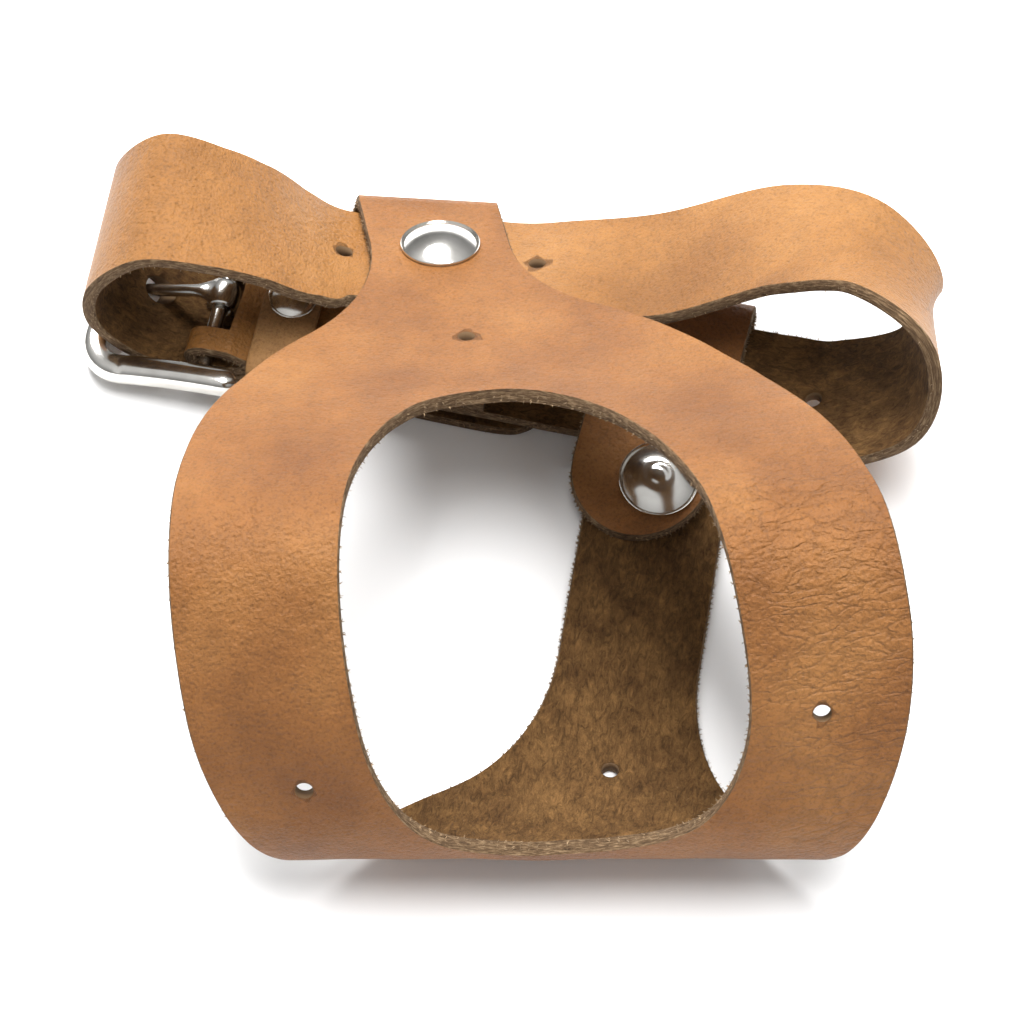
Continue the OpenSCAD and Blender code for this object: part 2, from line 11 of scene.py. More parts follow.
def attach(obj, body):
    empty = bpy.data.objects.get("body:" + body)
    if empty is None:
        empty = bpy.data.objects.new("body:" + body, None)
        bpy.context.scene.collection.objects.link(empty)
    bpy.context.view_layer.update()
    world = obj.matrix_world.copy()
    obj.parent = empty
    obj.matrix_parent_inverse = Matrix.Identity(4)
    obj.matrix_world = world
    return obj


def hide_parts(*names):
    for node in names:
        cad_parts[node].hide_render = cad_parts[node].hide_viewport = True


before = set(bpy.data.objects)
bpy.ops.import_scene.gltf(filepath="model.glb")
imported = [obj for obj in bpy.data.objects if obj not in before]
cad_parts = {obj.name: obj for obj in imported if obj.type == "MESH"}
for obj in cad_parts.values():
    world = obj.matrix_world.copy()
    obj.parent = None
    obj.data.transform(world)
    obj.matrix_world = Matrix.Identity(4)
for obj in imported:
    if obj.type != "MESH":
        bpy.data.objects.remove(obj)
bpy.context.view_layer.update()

MM = 0.001
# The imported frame's origin, in the design frame
DATUM = (-0.597, 40.175, 0.0)

# ---- Leather ------------------------------------------------------------------------
LEATHER = 1.6
LAYER = 1.65

# Palm loop, flat pattern
RING_HALF_W = 38.8
RING_FRONT = 63.7
RING_BACK = 45.7
HOLE_HALF_W = 21.0
HOLE_FRONT = 40.2
HOLE_BACK = 24.4
NECK_HALF_W = 8.2
SWEEP_FRONT = 19.8
SWEEP_BACK = 25.0
RING_POWER_FRONT = 2.1
RING_POWER_BACK = 1.84
HOLE_POWER_FRONT = 2.13
HOLE_POWER_BACK = 2.58
PUNCH_R = 1.0
PUNCHES = [(0, 53.9), (0, -45.1), (28, -9.8), (-28, -9.8)]

# Palm loop, how it lies
SKEW = math.radians(9.5)
PATTERN_X = 3.9
PATTERN_S = 89.2
PATH_Y = 54.1
PATH_Z = 2.16
NECK_SLOPE = 2.0
ARCS = [(37.6, 0), (14.2, 25.5), (20.7, 98.3), (24.9, 21.6), (12.3, 60), (19.1, 13.8), (22.5, -11.8)]
FRONT_LINE = -6.0
BACK_LINE = -12.0
EDGE_GAP = 0.3
BACK_EDGE = 4.8
TONGUE_FALL = 0.14
TONGUE_LEN = 7.6
FLAP_LEN = 7.5
FLAP_TAPER = 0.25
FRONT_RIVET_V = 73.9
BACK_RIVET_V = -81.8

# Wrist strap
STRAP_HALF_W = 9.0
STRAP_YAW = math.radians(-12)
BAR = (-34.6, 70.4, 4.9)
BAR_R = 1.0
RUN_AT_KEEPER = 4.0
RUN_AT_FLAP = 4.05
KEEPER_T = 8.8
KEEPER_W = 7.0
KEEPER_LEATHER = 1.2
KEEPER_LIE = 3.7
KEEPER_SIDE_GAP = 0.35
KEEPER_UNDER_GAP = 0.15
KEEPER_TOP_GAP = 0.14
KEEPER_CORNER = 1.4
FLAP_RIVET_T = 27.5
FLAP_TIP_T = 34.0
SLOT_HALF = 5.6
SLOT_END = 2.4
TAB_FLAT = 11.4
HOLE_SPACING = 11.5
PRONG_HOLE_R = 1.7
BACK_PUNCH_T = 72

# Buckle
RAIL_GAP = 10.0
RAIL_W = 3.2
FRAME_LEFT = -15.6
FRAME_RIGHT = 4.6
FRAME_H = 3.4
ARCH_R = 64.0
ARCH_X = 4.0
ARCH_TOP = 2.0
FRAME_CORNER = 4.2
PRONG_R = 0.75
PRONG_TIP = (-14.8, -3.3)
PRONG_ROOT = (-1.2, 1.15)
CURL_W = 3.6
CURL_GAP = 0.04
CURL_HALF = 0.5

# Rivets
BIG_R = 4.75
SMALL_R = 3.0
BIG_H = 1.7
LOW_H = 0.9
SMALL_H = 1.1
BACK_TILT = 6.0
RIM = 0.26
DIMPLE = 0.12
DIMPLE_R = 1.35
DIMPLE_W = 0.35


def sind(a):
    return math.sin(math.radians(a))


def cosd(a):
    return math.cos(math.radians(a))


def to_frame(p):
    """A point of the design in the frame's metres."""
    return Vector(((p[0] - DATUM[0]) * MM, (p[1] - DATUM[1]) * MM, (p[2] - DATUM[2]) * MM))


# ---- Pattern and path -----------------------------------------------------------------
def oval_point(a, b, n, t):
    return a * cosd(t) ** (2 / n), b * sind(t) ** (2 / n)


def oval_normal(a, b, n, t):
    x = cosd(t) ** (2 * (n - 1) / n) / a
    y = sind(t) ** (2 * (n - 1) / n) / b
    size = math.hypot(x, y)
    return x / size, y / size


def sweep_data(a, b, n, r):
    """Where a sweep of radius r leaves the oval, and the height of its centre."""
    low, high = 1.0, 89.0
    for _ in range(30):
        mid = (low + high) / 2
        x = oval_point(a, b, n, mid)[0] + r * oval_normal(a, b, n, mid)[0]
        if x > NECK_HALF_W + r:
            low = mid
        else:
            high = mid
    y = oval_point(a, b, n, mid)[1]
    return y, y + r * oval_normal(a, b, n, mid)[1]


FRONT_SWEEP = sweep_data(RING_HALF_W, RING_FRONT, RING_POWER_FRONT, SWEEP_FRONT)
BACK_SWEEP = sweep_data(RING_HALF_W, RING_BACK, RING_POWER_BACK, SWEEP_BACK)


def oval_x(a, b, n, v):
    return 0.0 if v >= b else a * (1 - (v / b) ** n) ** (1 / n)


def side_width(v, b, n, r, sweep):
    if v <= sweep[0]:
        return oval_x(RING_HALF_W, b, n, v)
    if v < sweep[1]:
        return NECK_HALF_W + r - math.sqrt(max(0, r * r - (sweep[1] - v) ** 2))
    return NECK_HALF_W


def path_step(p, length, turn):
    if turn == 0:
        return p[0] + length * cosd(p[2]), p[1] + length * sind(p[2]), p[2]
    r = length / math.radians(turn)
    after = p[2] - turn
    return p[0] + r * (sind(p[2]) - sind(after)), p[1] - r * (cosd(p[2]) - cosd(after)), after


PATH_JOINTS = [(PATH_Y, PATH_Z, 180 + NECK_SLOPE)]
PATH_SUMS = [0.0]
for arc_length, arc_turn in ARCS:
    PATH_JOINTS.append(path_step(PATH_JOINTS[-1], arc_length, arc_turn))
    PATH_SUMS.append(PATH_SUMS[-1] + arc_length)
PATH_LEN = PATH_SUMS[-1]
FRONT_H = PATH_JOINTS[-1][2]


def path_at(s):
    """(y, z, heading) at the distance s along the side view."""
    if s <= 0:
        return path_step(PATH_JOINTS[0], s, 0)
    if s >= PATH_LEN:
        return path_step(PATH_JOINTS[-1], s - PATH_LEN, 0)
    i = 0
    while s > PATH_SUMS[i + 1]:
        i += 1
    part = s - PATH_SUMS[i]
    return path_step(PATH_JOINTS[i], part, ARCS[i][1] * part / ARCS[i][0])


def flat_x(u, v):
    return PATTERN_X + u * math.cos(SKEW) - v * math.sin(SKEW)


def flat_s(u, v):
    return PATTERN_S + u * math.sin(SKEW) + v * math.cos(SKEW)


FRONT_ALONG = (-sind(FRONT_LINE), cosd(FRONT_LINE))
BACK_ALONG = (-sind(BACK_LINE), cosd(BACK_LINE))
FRONT_REACH = STRAP_HALF_W + EDGE_GAP
FRONT_FOLD = (
    flat_x(0, FRONT_RIVET_V) + FRONT_REACH * FRONT_ALONG[0],
    flat_s(0, FRONT_RIVET_V) + FRONT_REACH * FRONT_ALONG[1],
)
BACK_FLAT = (flat_x(0, BACK_RIVET_V), PATH_Y - flat_s(0, BACK_RIVET_V))
BACK_REACH = BACK_EDGE + 2 * STRAP_HALF_W + EDGE_GAP
BACK_FOLD = (BACK_FLAT[0] + BACK_REACH * BACK_ALONG[0], BACK_FLAT[1] + BACK_REACH * BACK_ALONG[1])


def neck_z(y):
    return PATH_Z + (y - PATH_Y) * math.tan(math.radians(NECK_SLOPE))


def wrap(d):
    """(along, height, angle) of a strip folded back on itself, d past the fold line."""
    if d <= 0:
        return d, 0.0, 0.0
    if d < LAYER * math.pi:
        a = math.degrees(d / LAYER)
        return LAYER * sind(a), LAYER * (1 - cosd(a)), a
    return LAYER * math.pi - d, 2 * LAYER, 180.0


def on_back(u, v, off):
    px = flat_x(u, v) - BACK_FOLD[0]
    py = PATH_Y - flat_s(u, v) - BACK_FOLD[1]
    along, height, angle = wrap(px * BACK_ALONG[0] + py * BACK_ALONG[1])
    side = px * BACK_ALONG[1] - py * BACK_ALONG[0]
    past = max(0, -along - 2 * STRAP_HALF_W - 2 * EDGE_GAP - 1)
    lift = max(height - TONGUE_FALL * past, LAYER) if angle == 180 else height
    reach = along + off * sind(angle)
    x = BACK_FOLD[0] + side * BACK_ALONG[1] + reach * BACK_ALONG[0]
    y = BACK_FOLD[1] - side * BACK_ALONG[0] + reach * BACK_ALONG[1]
    return x, y, neck_z(y) + lift - off * cosd(angle)


def on_front(u, v, off):
    px = flat_x(u, v) - FRONT_FOLD[0]
    py = flat_s(u, v) - FRONT_FOLD[1]
    along, height, angle = wrap(px * FRONT_ALONG[0] + py * FRONT_ALONG[1])
    side = px * FRONT_ALONG[1] - py * FRONT_ALONG[0]
    reach = along + off * sind(angle)
    x = FRONT_FOLD[0] + side * FRONT_ALONG[1] + reach * FRONT_ALONG[0]
    y = FRONT_FOLD[1] - side * FRONT_ALONG[0] + reach * FRONT_ALONG[1]
    lift = off * cosd(angle) - height
    b = path_at(y)
    return x, b[0] - lift * sind(b[2]), b[1] + lift * cosd(b[2])


def lay(u, v, off):
    """A pattern point in space, off along the grain side's normal."""
    s = flat_s(u, v)
    if s < 0:
        return on_back(u, v, off)
    if s > PATH_LEN:
        return on_front(u, v, off)
    b = path_at(s)
    return flat_x(u, v), b[0] - off * sind(b[2]), b[1] + off * cosd(b[2])


def ramp(x, a, b):
    return min(1.0, max(0.0, (x - a) / (b - a)))


FRONT_LEAN = math.tan(math.radians(FRONT_LINE) - SKEW)
BACK_LEAN = math.tan(-math.radians(BACK_LINE) - SKEW)


def lean(v):
    return FRONT_LEAN * ramp(v, 58, 80) + BACK_LEAN * ramp(-v, 60, 95)


FOLD_LEN = math.pi * LAYER
TONGUE_END = BACK_RIVET_V - 2 * BACK_REACH - FOLD_LEN - TONGUE_LEN
TONGUE_ROUND = TONGUE_END + NECK_HALF_W
FLAP_FROM = FRONT_RIVET_V + FRONT_REACH + FOLD_LEN
FLAP_END = FRONT_RIVET_V + 2 * FRONT_REACH + FOLD_LEN + FLAP_LEN


def outer(v):
    if v < TONGUE_ROUND:
        return math.sqrt(max(0.01, NECK_HALF_W**2 - (TONGUE_ROUND - v) ** 2))
    if v < 0:
        return side_width(-v, RING_BACK, RING_POWER_BACK, SWEEP_BACK, BACK_SWEEP)
    if v < FLAP_FROM:
        return side_width(v, RING_FRONT, RING_POWER_FRONT, SWEEP_FRONT, FRONT_SWEEP)
    return NECK_HALF_W - FLAP_TAPER * (v - FLAP_FROM)


def inner(v):
    if v < 0:
        return oval_x(HOLE_HALF_W, HOLE_BACK, HOLE_POWER_BACK, -v)
    return oval_x(HOLE_HALF_W, HOLE_FRONT, HOLE_POWER_FRONT, v)


def rows_between(a, b, step):
    count = max(1, math.ceil((b - a) / step))
    return [a + (b - a) * i / count for i in range(count)]


ROW = 0.7
PALM_ROWS = (
    [TONGUE_ROUND - NECK_HALF_W * sind(a) for a in range(88, 8, -4)]
    + rows_between(TONGUE_ROUND, -HOLE_BACK, ROW)
    + [HOLE_BACK * sind(a) for a in range(-90, 0, 2)]
    + [HOLE_FRONT * sind(a) for a in range(0, 90, 2)]
    + rows_between(HOLE_FRONT, FLAP_END, ROW)
)

# ---- Wrist strap's centre line ---------------------------------------------------------
FRONT_TOP = on_front(0, FRONT_RIVET_V, 0)
FRONT_SPOT = (FRONT_TOP[0], FRONT_TOP[1] + LAYER * sind(FRONT_H), FRONT_TOP[2] - LAYER * cosd(FRONT_H))
FRONT_STACK = 3 * LEATHER + 0.1
BACK_STACK = 2 * LEATHER + 1.1
BACK_SPOT = (BACK_FLAT[0], BACK_FLAT[1], neck_z(BACK_FLAT[1]) + (BACK_STACK - LEATHER) / 2)
WRAP_R = BAR_R + 0.06 + LEATHER / 2
TAIL_AT_KEEPER = RUN_AT_KEEPER - LAYER - 0.05
KEEPER_START = KEEPER_T - KEEPER_LIE - 0.7


def on_run(t, z, tilt=0.0, half=STRAP_HALF_W):
    yaw = STRAP_YAW
    return [BAR[0] + t * math.cos(yaw), BAR[1] + t * math.sin(yaw), z, tilt, -math.degrees(yaw), half]


def on_neck(t):
    return on_run(t, neck_z(on_run(t, 0)[1]) + LAYER, NECK_SLOPE)


def under_tab(t):
    x = FRONT_FOLD[0] - FRONT_REACH * FRONT_ALONG[0] + t * cosd(FRONT_LINE)
    y = FRONT_FOLD[1] - FRONT_REACH * FRONT_ALONG[1] + t * sind(FRONT_LINE)
    b = path_at(y)
    return [x, b[0] + LAYER * sind(b[2]), b[1] - LAYER * cosd(b[2]), FRONT_H, -FRONT_LINE, STRAP_HALF_W]


def spline(a, b, c, d, t):
    return 0.5 * (
        2 * b + (c - a) * t + (2 * a - 5 * b + 4 * c - d) * t * t + (3 * b - a - 3 * c + d) * t * t * t
    )


def smooth(points, steps):
    last = len(points) - 1
    ends = [[2 * p - q for p, q in zip(points[0], points[1])]]
    tail = [[2 * p - q for p, q in zip(points[last], points[last - 1])]]
    padded = ends + points + tail
    out = []
    for i in range(last):
        a, b, c, d = padded[i : i + 4]
        for k in range(steps):
            out.append([spline(*w, k / steps) for w in zip(a, b, c, d)])
    return out + [points[last]]


STRAP_STEPS = 12
# A station is [x, y, z, lean and turn of the cross section in degrees, half width]
FLAP_ROUTE = [
    on_run(FLAP_TIP_T, RUN_AT_FLAP + LAYER),
    on_run(24, RUN_AT_FLAP + LAYER),
    on_run(KEEPER_T + KEEPER_LIE, RUN_AT_KEEPER + LAYER),
    on_run(KEEPER_T, RUN_AT_KEEPER + LAYER),
    on_run(KEEPER_T - KEEPER_LIE, RUN_AT_KEEPER + LAYER),
    on_run(KEEPER_START, RUN_AT_KEEPER + LAYER + 0.2),
    on_run(SLOT_END + 0.2, BAR[2] + WRAP_R),
]
FOLD_ROUTE = (
    [on_run(SLOT_END, BAR[2] + WRAP_R)]
    + [on_run(-WRAP_R * sind(a), BAR[2] + WRAP_R * cosd(a)) for a in range(0, 181, 9)]
    + [on_run(SLOT_END, BAR[2] - WRAP_R)]
)
HALF = STRAP_HALF_W
STRAP_ROUTE = (
    [on_run(SLOT_END + 0.2, BAR[2] - WRAP_R), on_run(KEEPER_START, RUN_AT_KEEPER - 0.2)]
    + [on_run(KEEPER_T + s * KEEPER_LIE, RUN_AT_KEEPER) for s in (-1, 0, 1)]
    + [on_run(24, RUN_AT_FLAP), on_run(FLAP_TIP_T, RUN_AT_FLAP)]
    + [on_neck(t) for t in (41, 43.5, 55, 65, 67.5)]
    + [[37.6, 54.4, 6.6, -8, 2, HALF], [46.4, 53.4, 13.8, -17, 0, HALF]]
    + [[47.7, 57.2, 22.2, -21, 0, HALF], [41.4, 64.4, 24.4, -23, 0, HALF]]
    + [[31.6, 68.4, 21.4, -20, 0, HALF], [17, 68.5, 14.6, -16, 4, HALF]]
    + [under_tab(t) for t in (TAB_FLAT, 4, -4, 0.4 - TAB_FLAT)]
    + [[-23.8, 71.5, 14.9, -22, 6, HALF], [-29, 71.7, 19.3, -15, 6, HALF]]
    + [[-34.2, 71.8, 22.3, -8, 6, HALF]]
    + [[-41.5, 72.4, 23.6, -1, 8, HALF], [-47.2, 72.6, 17.6, 0, 9, HALF]]
    + [[-48, 72.9, 9.6, 0, 10, HALF], [-44.2, 72.2, 4.2, 0, 12, HALF]]
    + [[-39.4, 71.5, 1.3, 0, 12, HALF], on_run(0, 0.9), on_run(SLOT_END, 1.15)]
    + [on_run(KEEPER_START, TAIL_AT_KEEPER - 0.55)]
    + [on_run(KEEPER_T + s * KEEPER_LIE, TAIL_AT_KEEPER) for s in (-1, 0, 1)]
    + [on_run(20, 1.5), on_run(28, 0.85), on_run(36, 0.85)]
    + [on_run(39, 0.85, 0, 8), on_run(41.2, 0.85, 0, 5.4), on_run(42.4, 0.85, 0, 2.4)]
)
FLAP_STATIONS = smooth(FLAP_ROUTE, STRAP_STEPS)
STATIONS = FLAP_STATIONS + FOLD_ROUTE + smooth(STRAP_ROUTE, STRAP_STEPS)
SLOT_FROM = len(FLAP_STATIONS)
SLOT_TO = SLOT_FROM + len(FOLD_ROUTE) - 1


def strap_axes(i):
    s = STATIONS[i]
    before = STATIONS[max(0, i - 1)]
    after = STATIONS[min(len(STATIONS) - 1, i + 1)]
    along = (Vector(after[:3]) - Vector(before[:3])).normalized()
    raw = Vector((sind(s[4]) * cosd(s[3]), cosd(s[4]) * cosd(s[3]), sind(s[3])))
    across = (raw - raw.dot(along) * along).normalized()
    return Vector(s[:3]), across, along.cross(across)


STRAP_AXES = [strap_axes(i) for i in range(len(STATIONS))]


def on_strap(i, u, off):
    spot, across, flesh = STRAP_AXES[i]
    return spot + across * u - flesh * off


STRAP_RUN = [0.0]
for i in range(1, len(STATIONS)):
    STRAP_RUN.append(STRAP_RUN[-1] + (STRAP_AXES[i][0] - STRAP_AXES[i - 1][0]).length)


# ---- Node materials ---------------------------------------------------------------------
def new_material(name):
    m = bpy.data.materials.new(name)
    m.use_nodes = True
    return m, m.node_tree.nodes, m.node_tree.links


def pattern_input(nodes, links, scale, turn=0.0):
    attribute = nodes.new("ShaderNodeAttribute")
    attribute.attribute_name = "pattern"
    mapping = nodes.new("ShaderNodeMapping")
    mapping.inputs["Scale"].default_value = scale
    mapping.inputs["Rotation"].default_value = (0, 0, turn)
    links.new(attribute.outputs["Vector"], mapping.inputs["Vector"])
    return mapping.outputs["Vector"]


def noise_node(nodes, links, vector, scale, detail=4.0, rough=0.6, warp=0.0):
    n = nodes.new("ShaderNodeTexNoise")
    n.inputs["Scale"].default_value = scale
    n.inputs["Detail"].default_value = detail
    n.inputs["Roughness"].default_value = rough
    n.inputs["Distortion"].default_value = warp
    links.new(vector, n.inputs["Vector"])
    return n.outputs["Fac"]


def colour_ramp(nodes, links, value, stops):
    r = nodes.new("ShaderNodeValToRGB")
    elements = r.color_ramp.elements
    while len(elements) < len(stops):
        elements.new(0.5)
    for e, (place, colour) in zip(elements, stops):
        e.position = place
        e.color = (*colour, 1) if len(colour) == 3 else colour
    links.new(value, r.inputs["Fac"])
    return r.outputs["Color"]


def grey(nodes, links, value, low, high, dark=0.0, light=1.0):
    return colour_ramp(nodes, links, value, [(low, (dark,) * 3), (high, (light,) * 3)])


def mixed(nodes, links, a, b, kind="MULTIPLY", amount=1.0):
    m = nodes.new("ShaderNodeMix")
    m.data_type = "RGBA"
    m.blend_type = kind
    m.inputs["Factor"].default_value = amount
    links.new(a, m.inputs["A"])
    links.new(b, m.inputs["B"])
    return m.outputs["Result"]


def bump_chain(nodes, links, heights):
    """heights lists (value, distance in metres, strength)."""
    last = None
    for value, distance, strength in heights:
        b = nodes.new("ShaderNodeBump")
        b.inputs["Distance"].default_value = distance
        b.inputs["Strength"].default_value = strength
        links.new(value, b.inputs["Height"])
        if last is not None:
            links.new(last, b.inputs["Normal"])
        last = b.outputs["Normal"]
    return last


def crease_mask(nodes, links):
    """Creases gather on the band that bends the most: to the right of the hand opening. The mask places both
    their bump and their painted shade.
    """
    attribute = nodes.new("ShaderNodeAttribute")
    attribute.attribute_name = "pattern"
    parts = nodes.new("ShaderNodeSeparateXYZ")
    links.new(attribute.outputs["Vector"], parts.inputs["Vector"])
    right = nodes.new("ShaderNodeMapRange")
    right.interpolation_type = "SMOOTHSTEP"
    right.inputs["From Min"].default_value = 14
    right.inputs["From Max"].default_value = 27
    links.new(parts.outputs["X"], right.inputs["Value"])
    near = nodes.new("ShaderNodeMapRange")
    near.interpolation_type = "SMOOTHSTEP"
    near.inputs["From Min"].default_value = 34
    near.inputs["From Max"].default_value = 12
    links.new(parts.outputs["Y"], near.inputs["Value"])
    both = nodes.new("ShaderNodeMath")
    both.operation = "MULTIPLY"
    links.new(right.outputs["Result"], both.inputs[0])
    links.new(near.outputs["Result"], both.inputs[1])
    return both.outputs["Value"]


def grain_leather(name, dark, mid, light, crease=1.0, roughness=(0.4, 0.58), pit_scale=1.5):
    """Vegetable-tanned grain: tan with fine pits and pebble, and creases where it bends, their furrows also
    darkening the colour as painted shade.
    """
    m, nodes, links = new_material(name)
    shader = nodes["Principled BSDF"]
    flat = pattern_input(nodes, links, (1, 1, 1))
    skewed = pattern_input(nodes, links, (0.3, 0.62, 1), 0.5)
    cloud = noise_node(nodes, links, flat, 0.05, 3, 0.5)
    mottle = noise_node(nodes, links, flat, 0.5, 6, 0.7)
    speck = noise_node(nodes, links, flat, 2.8, 4, 0.65)
    base = colour_ramp(nodes, links, cloud, [(0.3, dark), (0.5, mid), (0.7, light)])
    base = mixed(nodes, links, base, grey(nodes, links, mottle, 0.3, 0.7, 0.86, 1.08))
    base = mixed(nodes, links, base, grey(nodes, links, speck, 0.36, 0.5, 0.74, 1.0))
    cells = nodes.new("ShaderNodeTexVoronoi")
    cells.feature = "DISTANCE_TO_EDGE"
    cells.inputs["Scale"].default_value = 1.25
    warp = nodes.new("ShaderNodeMix")
    warp.data_type = "VECTOR"
    warp.inputs["Factor"].default_value = 0.14
    bend = nodes.new("ShaderNodeTexNoise")
    bend.inputs["Scale"].default_value = 0.35
    bend.inputs["Detail"].default_value = 4
    links.new(skewed, bend.inputs["Vector"])
    amplify = nodes.new("ShaderNodeVectorMath")
    amplify.operation = "SCALE"
    amplify.inputs["Scale"].default_value = 22
    links.new(bend.outputs["Color"], amplify.inputs[0])
    links.new(skewed, warp.inputs["A"])
    links.new(amplify.outputs["Vector"], warp.inputs["B"])
    links.new(warp.outputs["Result"], cells.inputs["Vector"])
    furrow = grey(nodes, links, cells.outputs["Distance"], 0.0, 0.16)
    masked = nodes.new("ShaderNodeMix")
    masked.data_type = "RGBA"
    masked.inputs["A"].default_value = (1, 1, 1, 1)
    links.new(crease_mask(nodes, links), masked.inputs["Factor"])
    links.new(furrow, masked.inputs["B"])
    furrow = masked.outputs["Result"]
    # Painted shade: the crease furrows darken the base colour down to 0.86, on top of their real bump relief.
    shade = grey(nodes, links, furrow, 0.0, 1.0, 0.86, 1.0)
    base = mixed(nodes, links, base, shade, "MULTIPLY", crease)
    links.new(base, shader.inputs["Base Color"])
    pores = nodes.new("ShaderNodeTexVoronoi")
    pores.inputs["Scale"].default_value = pit_scale
    links.new(flat, pores.inputs["Vector"])
    pebble = noise_node(nodes, links, flat, 0.9, 6, 0.65)
    pit = grey(nodes, links, pores.outputs["Distance"], 0.05, 0.5)
    gloss = nodes.new("ShaderNodeMapRange")
    gloss.inputs["To Min"].default_value = roughness[0]
    gloss.inputs["To Max"].default_value = roughness[1]
    links.new(mottle, gloss.inputs["Value"])
    links.new(gloss.outputs["Result"], shader.inputs["Roughness"])
    shader.inputs["Specular IOR Level"].default_value = 0.24
    heights = [
        (furrow, 0.00016, 0.6 * crease),
        (pebble, 0.0006, 0.65),
        (pit, 0.00014, 0.5),
        (speck, 0.00014, 0.7),
    ]
    links.new(bump_chain(nodes, links, heights), shader.inputs["Normal"])
    return m


def flesh_leather(name, dark, light):
    """Suede side: fibrous, blotched, dull."""
    m, nodes, links = new_material(name)
    shader = nodes["Principled BSDF"]
    flat = pattern_input(nodes, links, (1, 1, 1))
    drawn = pattern_input(nodes, links, (1.0, 0.4, 1), 0.25)
    blotch = noise_node(nodes, links, flat, 0.22, 8, 0.75)
    fibre = noise_node(nodes, links, drawn, 1.5, 7, 0.8, 1.2)
    base = colour_ramp(nodes, links, blotch, [(0.32, dark), (0.68, light)])
    base = mixed(nodes, links, base, grey(nodes, links, fibre, 0.35, 0.62, 0.42, 1.3))
    links.new(base, shader.inputs["Base Color"])
    shader.inputs["Roughness"].default_value = 0.95
    shader.inputs["Specular IOR Level"].default_value = 0.15
    links.new(bump_chain(nodes, links, [(fibre, 0.0012, 0.9), (blotch, 0.0006, 0.4)]), shader.inputs["Normal"])
    return m


def edge_leather(name):
    """Cut edge: dark, layered along the cut, with pale frayed spots."""
    m, nodes, links = new_material(name)
    shader = nodes["Principled BSDF"]
    layered = pattern_input(nodes, links, (0.7, 0.7, 4.0))
    streak = noise_node(nodes, links, layered, 1.3, 6, 0.7)
    stops = [(0.3, (0.045, 0.026, 0.014)), (0.5, (0.13, 0.078, 0.04)), (0.66, (0.3, 0.2, 0.11))]
    base = colour_ramp(nodes, links, streak, stops)
    links.new(base, shader.inputs["Base Color"])
    shader.inputs["Roughness"].default_value = 0.9
    shader.inputs["Specular IOR Level"].default_value = 0.2
    links.new(bump_chain(nodes, links, [(streak, 0.0006, 0.9)]), shader.inputs["Normal"])
    return m


def nickel_plate():
    """Polished nickel with faint hairlines and handling dullness."""
    m, nodes, links = new_material("nickel_plate")
    shader = nodes["Principled BSDF"]
    coord = nodes.new("ShaderNodeTexCoord")
    scratch = noise_node(nodes, links, coord.outputs["Object"], 900, 5, 0.7)
    dull = noise_node(nodes, links, coord.outputs["Object"], 260, 3, 0.5)
    tint = colour_ramp(nodes, links, dull, [(0.3, (0.62, 0.6, 0.56)), (0.7, (0.8, 0.78, 0.74))])
    links.new(tint, shader.inputs["Base Color"])
    shader.inputs["Metallic"].default_value = 1.0
    gloss = nodes.new("ShaderNodeMapRange")
    gloss.inputs["To Min"].default_value = 0.1
    gloss.inputs["To Max"].default_value = 0.24
    links.new(dull, gloss.inputs["Value"])
    links.new(gloss.outputs["Result"], shader.inputs["Roughness"])
    links.new(bump_chain(nodes, links, [(scratch, 0.00003, 0.25)]), shader.inputs["Normal"])
    return m


PALM_GRAIN = grain_leather("palm_grain", (0.15, 0.055, 0.013), (0.215, 0.085, 0.021), (0.28, 0.122, 0.034))
STRAP_GRAIN = grain_leather(
    "strap_grain", (0.19, 0.078, 0.018), (0.25, 0.108, 0.026), (0.3, 0.138, 0.038), 0.0, (0.36, 0.52), 1.9
)
KEEPER_GRAIN = grain_leather(
    "keeper_grain", (0.26, 0.13, 0.045), (0.32, 0.165, 0.06), (0.38, 0.2, 0.08), 0.0, (0.45, 0.6), 2.2
)
FLESH = flesh_leather("flesh_side", (0.09, 0.043, 0.015), (0.25, 0.13, 0.045))
EDGE = edge_leather("cut_edge")
NICKEL = nickel_plate()


# ---- Mesh builders -----------------------------------------------------------------------
def finish_mesh(name, bm, materials, sharp=0.9):
    bmesh.ops.recalc_face_normals(bm, faces=bm.faces)
    mesh = bpy.data.meshes.new(name)
    bm.to_mesh(mesh)
    bm.free()
    for m in materials:
        mesh.materials.append(m)
    mesh.shade_smooth()
    mesh.set_sharp_from_angle(angle=sharp)
    obj = bpy.data.objects.new(name, mesh)
    bpy.context.scene.collection.objects.link(obj)
    return obj


ROUND = 0.16


def section(w0, w1, cells):
    """Half a sheet's cross section, once round: (u, k) with k = 1 on the grain side."""
    top = [(w0 + (w1 - w0) * j / cells, 1.0) for j in range(cells + 1)]
    if w0 > 0:
        top[0] = (w0 + ROUND, 1.0)
    top[-1] = (w1 - ROUND, 1.0)
    under = [(u, -1.0) for u, _ in reversed(top)]
    out = [(w1, 0.72), (w1 + 0.04, 0.0), (w1, -0.72)]
    back = [(w0, -0.72), (w0 - 0.04 if w0 > 0 else w0, 0.0), (w0, 0.72)]
    return top + out + under + back


